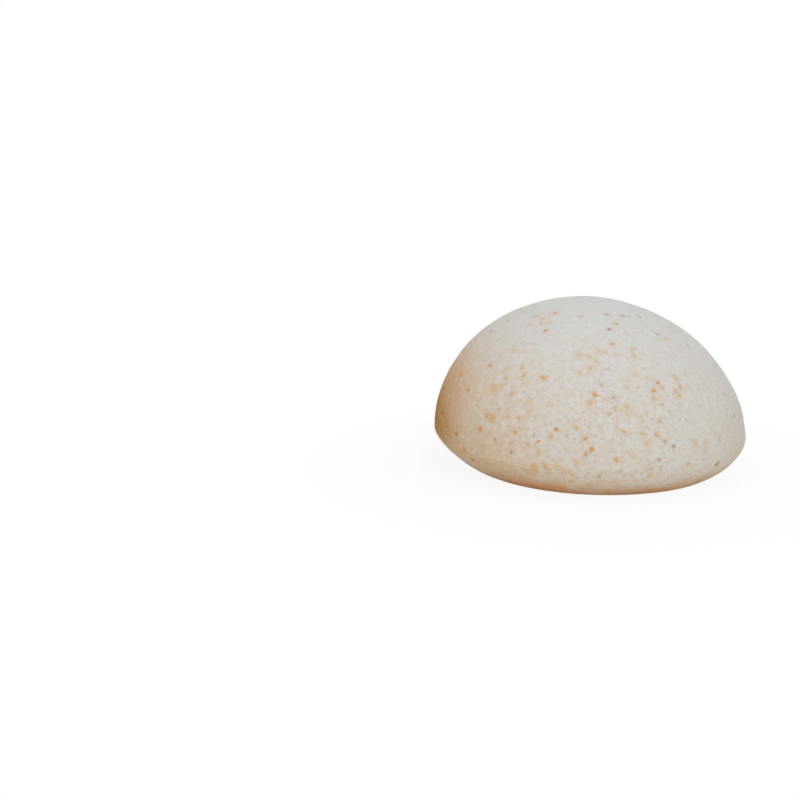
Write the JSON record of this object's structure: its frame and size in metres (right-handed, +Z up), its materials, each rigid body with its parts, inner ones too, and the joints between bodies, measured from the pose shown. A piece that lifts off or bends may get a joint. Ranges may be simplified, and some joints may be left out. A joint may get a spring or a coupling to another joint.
{
  "type": "konjac sponge",
  "caption": "Half-dome facial cleansing sponge of soft konjac gel with crushed-shell scrub grains cast into it, resting on its flat face.",
  "frame": {"origin": "on the flat face, under the middle of the widest ring", "axes": "+Z up from the flat face to the crown, -Y to the front as pictured, +X to the right"},
  "size_m": [0.0806, 0.0804, 0.044],
  "materials": {
    "konjac_gel": "matte, moist, slightly translucent off-white gel with fine pores",
    "red_brown_shell": "matte crushed shell",
    "orange_shell": "matte crushed shell",
    "amber_shell": "matte crushed shell",
    "ochre_shell": "matte crushed shell",
    "umber_shell": "matte crushed shell"
  },
  "bodies": {
    "root": {"sponge_body": "konjac_gel", "red_brown_shell_grains": "red_brown_shell", "orange_shell_grains": "orange_shell", "amber_shell_grains": "amber_shell", "ochre_shell_grains": "ochre_shell", "umber_shell_grains": "umber_shell", "flat_face_grains": "amber_shell", "core_grains": "orange_shell"}
  },
  "joints": []
}
